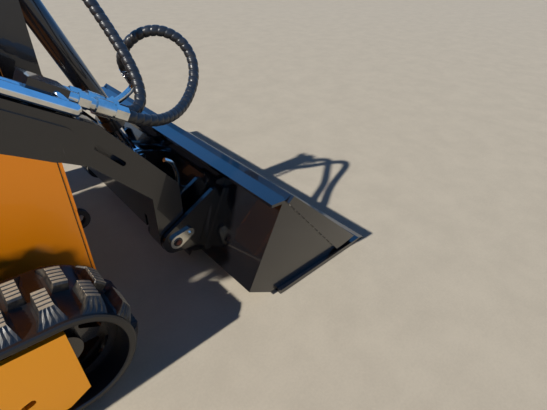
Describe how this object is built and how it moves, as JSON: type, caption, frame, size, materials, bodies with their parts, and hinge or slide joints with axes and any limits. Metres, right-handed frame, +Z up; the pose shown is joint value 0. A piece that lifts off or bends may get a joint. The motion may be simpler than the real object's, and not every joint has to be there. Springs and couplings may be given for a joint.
{
  "type": "stand-on tracked mini skid steer loader",
  "caption": "Compact stand-on skid steer loader on rubber tracks, with loader arms, tilt cylinder, quick attach plate, low bucket, hoses and a folding step.",
  "frame": {"origin": "middle of the footprint, on the ground under the tracks", "axes": "+X forward to the bucket, +Y to the machine's left, +Z up"},
  "size_m": [2.45, 1.13, 1.237],
  "materials": {
    "amber_paint": "satin amber enamel",
    "black_paint": "gloss black enamel",
    "black_panel": "textured black enamel",
    "black_knob": "moulded gloss",
    "black_foam": "soft skin",
    "dark_iron": "dark oxide",
    "zinc": "zinc plated",
    "chrome_rod": "hard chrome",
    "track_rubber": "worn matt",
    "hose_guard": "spiral wrap"
  },
  "bodies": {
    "chassis": {"frame_tub": "amber_paint", "side_panel_right": "amber_paint", "side_panel_left": "amber_paint", "tower_right": "amber_paint", "tower_left": "amber_paint", "hood": "amber_paint", "engine": "dark_iron", "console": "black_panel", "control_levers": "black_knob", "grab_bar": "black_paint", "knee_pad": "black_foam", "arm_pins": "zinc", "track_right": "track_rubber", "track_left": "track_rubber", "idler_right": "black_paint", "idler_left": "black_paint", "sprocket_right": "black_paint", "sprocket_left": "black_paint", "rollers_right": "dark_iron", "rollers_left": "dark_iron", "track_frame_right": "amber_paint", "track_frame_left": "amber_paint"},
    "arms": {"upper_arm_right": "black_paint", "upper_arm_left": "black_paint", "lower_arm_right": "black_paint", "lower_arm_left": "black_paint", "knee_tube": "black_paint", "cross_plate": "black_paint", "tilt_bracket": "black_paint", "work_tubes": "zinc", "coupler_block": "dark_iron", "couplers": "zinc", "hose_a": "hose_guard", "hose_b": "hose_guard"},
    "attachment": {"attach_plate": "black_paint", "attach_pins": "zinc", "latch_handles": "zinc", "bucket": "black_paint", "cutting_edge": "black_paint"},
    "tilt_cylinder": {"tilt_barrel": "black_paint", "tilt_ports": "zinc"},
    "tilt_piston": {"tilt_rod": "chrome_rod"},
    "lift_cylinder_right": {"lift_barrel_right": "black_paint"},
    "lift_piston_right": {"lift_rod_right": "chrome_rod"},
    "lift_cylinder_left": {"lift_barrel_left": "black_paint"},
    "lift_piston_left": {"lift_rod_left": "chrome_rod"},
    "step": {"platform": "black_paint"}
  },
  "joints": [
    {"name": "lift", "type": "hinge", "parent": "chassis", "child": "arms", "pos_m": [-0.425, 0, 1.024], "axis": [0, -1, 0], "range_deg": [0, 85]},
    {"name": "tilt", "type": "hinge", "parent": "arms", "child": "attachment", "pos_m": [0.651, 0, 0.136], "axis": [0, 1, 0], "range_deg": [-25, 125]},
    {"name": "tilt_swing", "type": "hinge", "parent": "arms", "child": "tilt_cylinder", "pos_m": [0.488, 0, 0.8], "axis": [0, 1, 0], "range_deg": [-1, 3]},
    {"name": "tilt_stroke", "type": "slide", "parent": "tilt_cylinder", "child": "tilt_piston", "axis": [0.3785, 0, -0.9256], "range_m": [-0.048, 0.237]},
    {"name": "step_fold", "type": "hinge", "parent": "chassis", "child": "step", "pos_m": [-0.895, 0, 0.19], "axis": [0, 1, 0], "range_deg": [0, 80]},
    {"name": "lift_swing_right", "type": "hinge", "parent": "chassis", "child": "lift_cylinder_right", "pos_m": [-0.675, -0.339, 0.45], "axis": [0, -1, 0], "range_deg": [0, 24]},
    {"name": "lift_stroke_right", "type": "slide", "parent": "lift_cylinder_right", "child": "lift_piston_right", "axis": [0.8497, 0, 0.5273], "range_m": [0, 0.384]},
    {"name": "lift_swing_left", "type": "hinge", "parent": "chassis", "child": "lift_cylinder_left", "pos_m": [-0.675, 0.339, 0.45], "axis": [0, -1, 0], "range_deg": [0, 24]},
    {"name": "lift_stroke_left", "type": "slide", "parent": "lift_cylinder_left", "child": "lift_piston_left", "axis": [0.8497, 0, 0.5273], "range_m": [0, 0.384]}
  ],
  "couplings": [
    {"joint": "tilt_swing", "follows": "tilt", "ratio": 0.02},
    {"joint": "tilt_stroke", "follows": "tilt", "m_per_rad": 0.1083},
    {"joint": "lift_swing_right", "follows": "lift", "ratio": 0.2765},
    {"joint": "lift_stroke_right", "follows": "lift", "m_per_rad": 0.2575},
    {"joint": "lift_swing_left", "follows": "lift", "ratio": 0.2765},
    {"joint": "lift_stroke_left", "follows": "lift", "m_per_rad": 0.2575}
  ]
}
